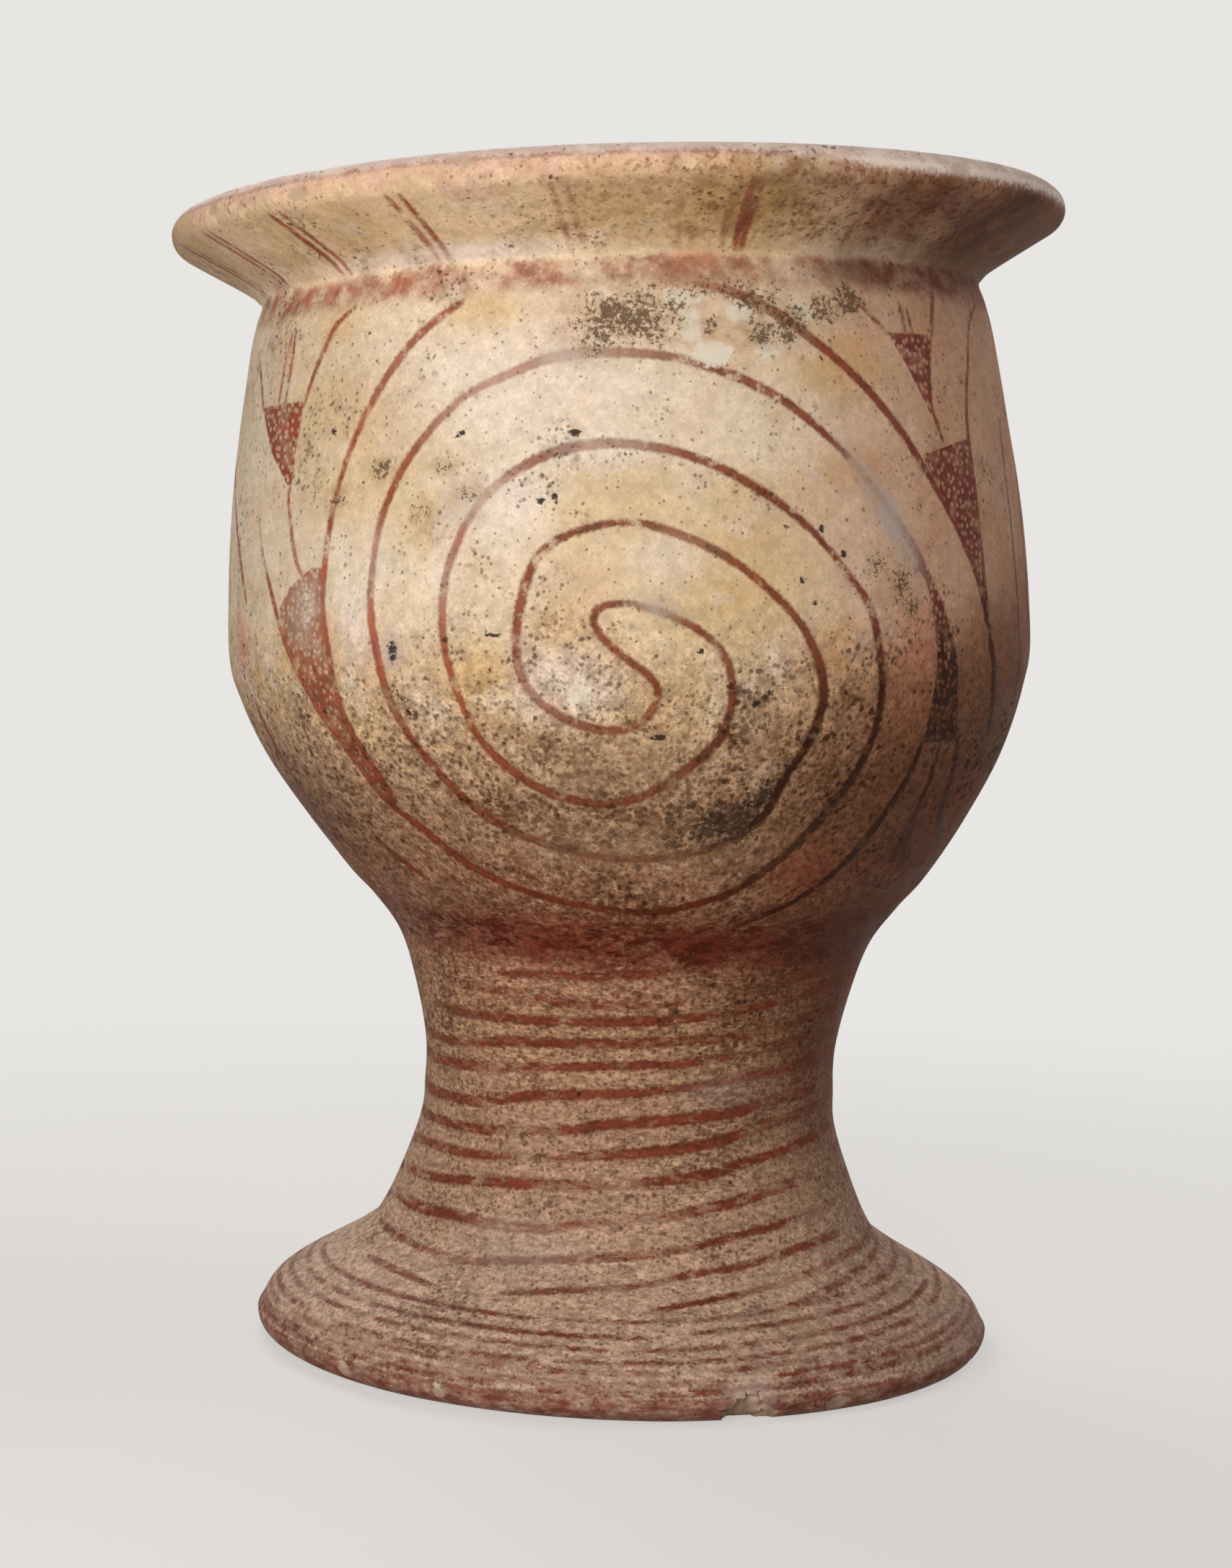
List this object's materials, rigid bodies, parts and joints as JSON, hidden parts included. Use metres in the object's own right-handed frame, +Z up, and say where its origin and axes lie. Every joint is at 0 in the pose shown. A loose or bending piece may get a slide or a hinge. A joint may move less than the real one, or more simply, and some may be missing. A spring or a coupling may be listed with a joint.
{
  "type": "footed vase",
  "caption": "Footed earthenware vase: deep leaning bowl with an everted rim on a hollow waisted pedestal, slip-coated and painted with red spirals, netted wedges and brushed stripes.",
  "frame": {"origin": "on the resting plane, under the middle of the vase's bounding box; the foot's own centre lies 9.8 mm towards +X because the bowl leans", "axes": "+Z up, from the foot to the rim; the bowl leans towards -X; the viewer of the main painted spiral stands at -Y"},
  "size_m": [0.2166, 0.217, 0.2835],
  "materials": {
    "bowl_slip": "cream slip with red-brown painted spirals, speckled and worn",
    "pedestal_slip": "pinkish buff slip with brushed red stripes, worn",
    "joint_band": "matt red-brown painted band",
    "neck_band": "matt red painted band",
    "rim_slip": "buff slip with red stripes under the rim and a worn red lip",
    "bare_clay": "unpainted gritty fired clay"
  },
  "bodies": {
    "root": {"foot_skirt": "pedestal_slip", "stem_tube": "pedestal_slip", "luting_collar": "joint_band", "inner_luting_coil": "bare_clay", "bowl_base": "bowl_slip", "belly_wall": "bowl_slip", "upper_wall": "bowl_slip", "neck_collar": "neck_band", "rim_flange": "rim_slip"}
  },
  "joints": []
}
